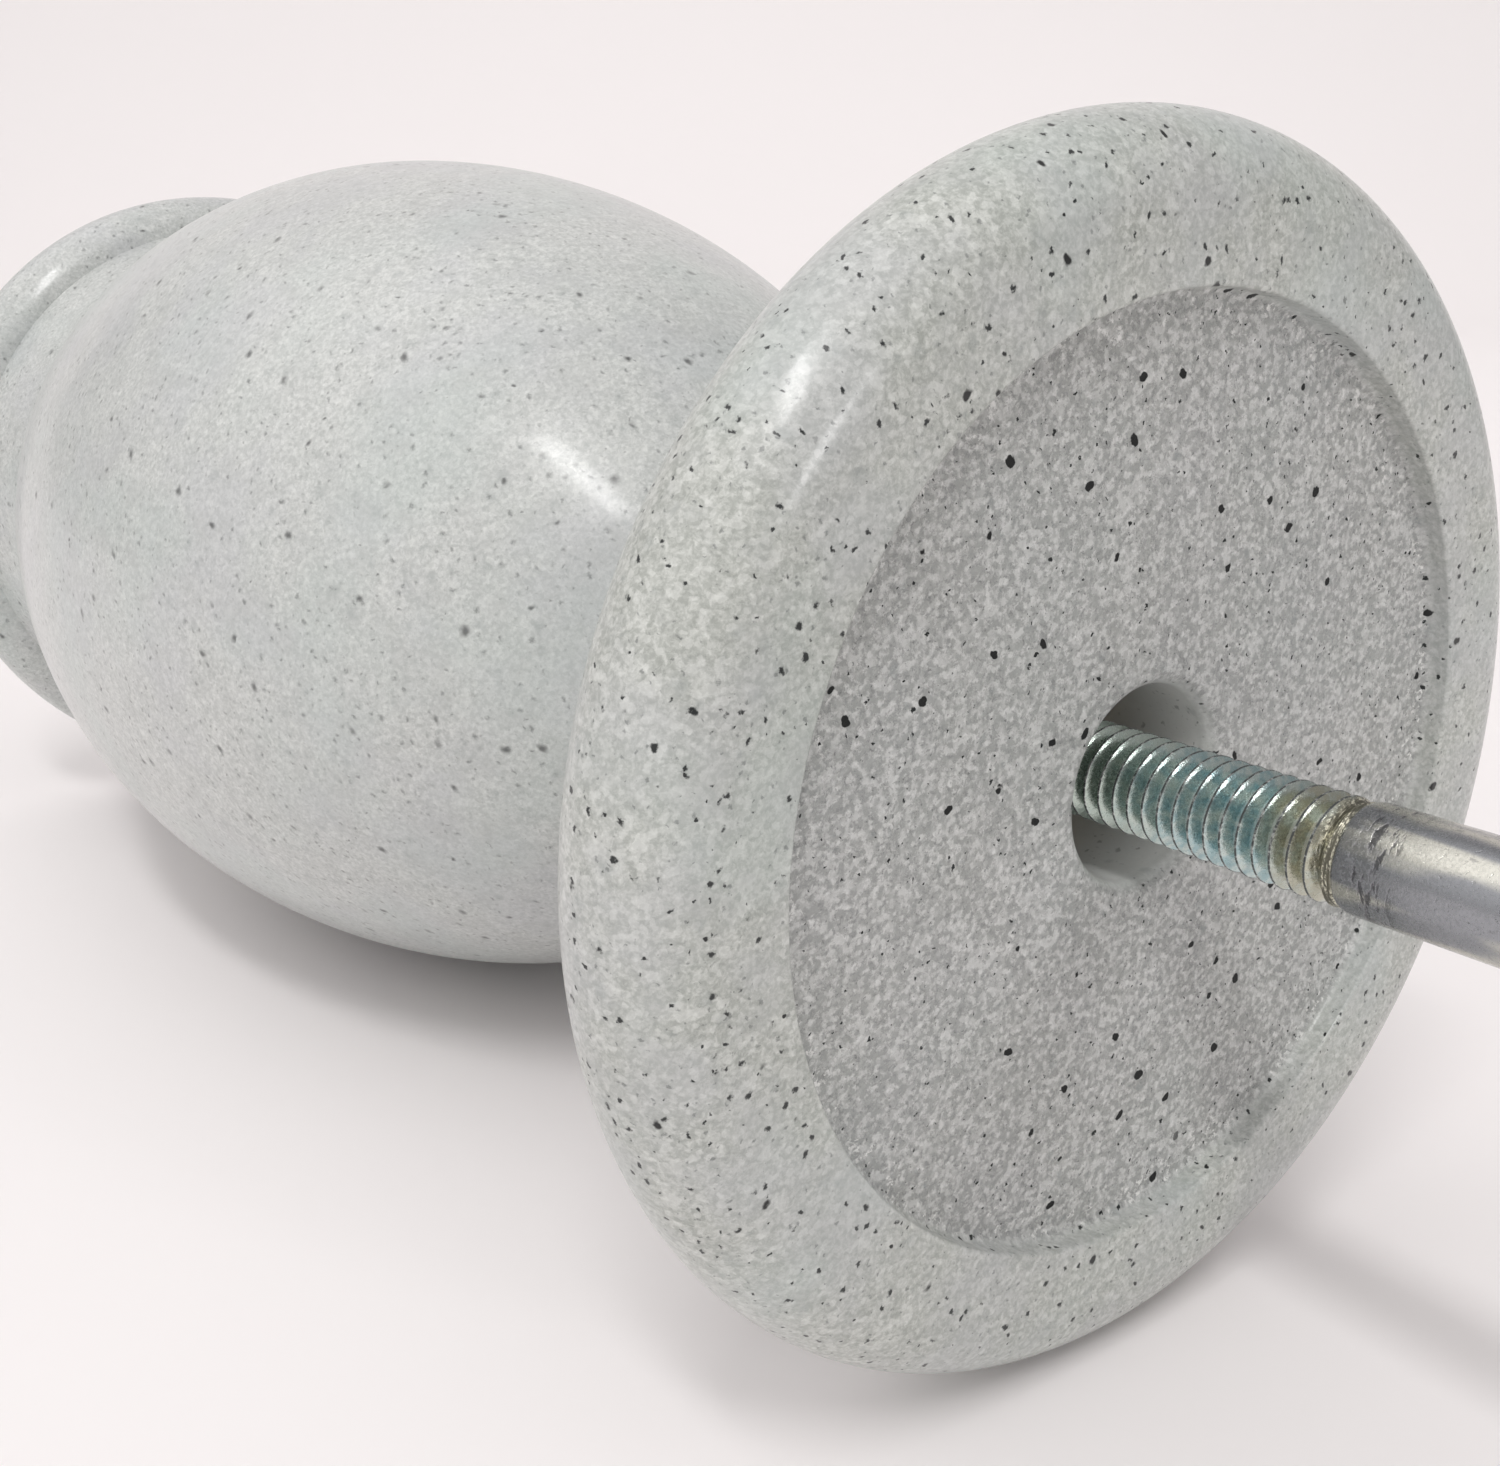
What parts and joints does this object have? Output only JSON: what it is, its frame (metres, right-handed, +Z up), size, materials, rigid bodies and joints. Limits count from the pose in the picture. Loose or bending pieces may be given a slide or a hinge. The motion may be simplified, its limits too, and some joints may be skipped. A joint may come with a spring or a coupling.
{
  "type": "memorial flower vase",
  "caption": "Cast granite-resin grave vase with a round foot, urn bowl, lift-out liner cup and a threaded steel mounting rod.",
  "frame": {"origin": "centre of the foot's rim plane, on the vase's axis, where the mounting rod leaves the foot", "axes": "+Z up the vase's axis towards its mouth; X and Y are alike, because the vase is turned"},
  "size_m": [0.0994, 0.0994, 0.2926],
  "materials": {
    "cast_granite": "polished cast resin with white marble grain and small black flecks",
    "insert_brass": "turned brass",
    "zinc_steel": "bright zinc plate with a faint blue-yellow tint",
    "liner_plastic": "moulded dark green plastic"
  },
  "bodies": {
    "vase": {"vase_casting": "cast_granite", "threaded_insert": "insert_brass"},
    "rod": {"mounting_rod": "zinc_steel"},
    "liner": {"liner_cup": "liner_plastic"}
  },
  "joints": [
    {"name": "rod_unscrew", "type": "slide", "parent": "vase", "child": "rod", "axis": [0, 0, -1], "range_m": [0, 0.032]},
    {"name": "liner_lift", "type": "slide", "parent": "vase", "child": "liner", "axis": [0, 0, 1], "range_m": [0, 0.13]}
  ]
}
